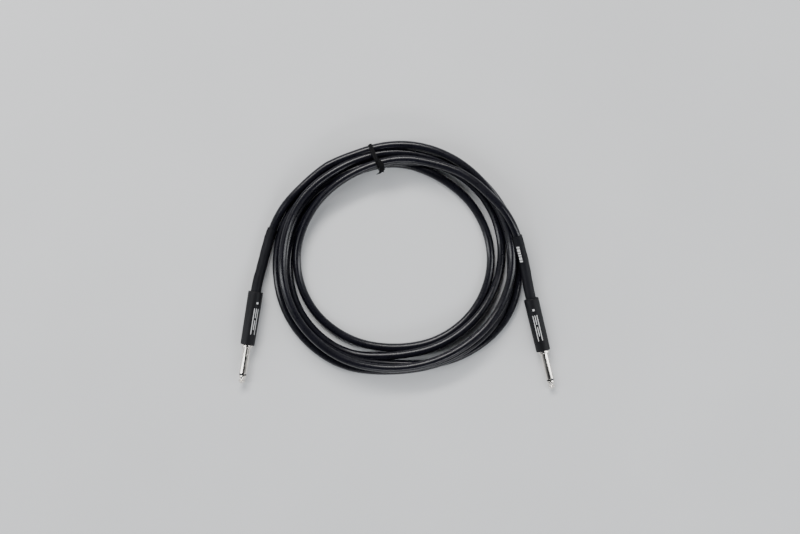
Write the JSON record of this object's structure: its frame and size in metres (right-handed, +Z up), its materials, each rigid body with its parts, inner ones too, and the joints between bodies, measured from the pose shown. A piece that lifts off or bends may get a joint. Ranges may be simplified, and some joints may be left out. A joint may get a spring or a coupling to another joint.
{
  "type": "instrument cable",
  "caption": "Coiled cable with a straight 6.35 mm mono phone plug at each end, for joining an electric instrument to an amplifier.",
  "frame": {"origin": "on the surface the cable lies on, under the middle of the two plugs' common box", "axes": "+Z up from the surface; +X from the plug at the coil's left to the one at its right; both tips point towards -Y and the coil lies on the +Y side"},
  "size_m": [0.2676, 0.2097, 0.0218],
  "materials": {
    "cable_jacket": "satin",
    "shrink_sleeve": "matte",
    "barrel_paint": "matte",
    "nickel": "polished",
    "insulator": "satin",
    "tinned_brass": "satin",
    "core_plastic": "satin",
    "copper": "satin",
    "solder": "satin",
    "liner_plastic": "satin",
    "tie_plastic": "gloss",
    "tie_steel": "satin"
  },
  "bodies": {
    "cable": {"cable_coil": "cable_jacket", "cable_tail_a": "cable_jacket", "cable_tail_b": "cable_jacket", "shrink_sleeve_a": "shrink_sleeve", "shrink_sleeve_b": "shrink_sleeve", "tie_strip": "tie_plastic", "tie_wire": "tie_steel", "tip_contact_a": "nickel", "tip_insulator_a": "insulator", "shaft_a": "nickel", "threaded_collar_a": "nickel", "ground_tag_a": "tinned_brass", "insulating_washer_a": "insulator", "tip_tag_a": "tinned_brass", "core_insulation_a": "core_plastic", "conductor_a": "copper", "shield_a": "copper", "solder_joints_a": "solder", "tip_contact_b": "nickel", "tip_insulator_b": "insulator", "shaft_b": "nickel", "threaded_collar_b": "nickel", "ground_tag_b": "tinned_brass", "insulating_washer_b": "insulator", "tip_tag_b": "tinned_brass", "core_insulation_b": "core_plastic", "conductor_b": "copper", "shield_b": "copper", "solder_joints_b": "solder"},
    "liner_a": {"barrel_liner_a": "liner_plastic"},
    "shell_a": {"barrel_a": "barrel_paint"},
    "liner_b": {"barrel_liner_b": "liner_plastic"},
    "shell_b": {"barrel_b": "barrel_paint"}
  },
  "joints": [
    {"name": "barrel_travel_a", "type": "slide", "parent": "cable", "child": "liner_a", "axis": [0.1564, 0.9877, 0], "range_m": [0, 0.006]},
    {"name": "barrel_turn_a", "type": "hinge", "parent": "liner_a", "child": "shell_a", "pos_m": [-0.12253, 0.01812, 0.00635], "axis": [0.1564, 0.9877, 0], "range_deg": [0, 2160]},
    {"name": "barrel_travel_b", "type": "slide", "parent": "cable", "child": "liner_b", "axis": [-0.2346, 0.9696, 0.0698], "range_m": [0, 0.006]},
    {"name": "barrel_turn_b", "type": "hinge", "parent": "liner_b", "child": "shell_b", "pos_m": [0.11837, 0.01268, 0.00759], "axis": [-0.2346, 0.9696, 0.0698], "range_deg": [0, 2160]}
  ],
  "couplings": [
    {"joint": "barrel_travel_a", "follows": "barrel_turn_a", "m_per_rad": 0.00015915},
    {"joint": "barrel_travel_b", "follows": "barrel_turn_b", "m_per_rad": 0.00015915}
  ]
}
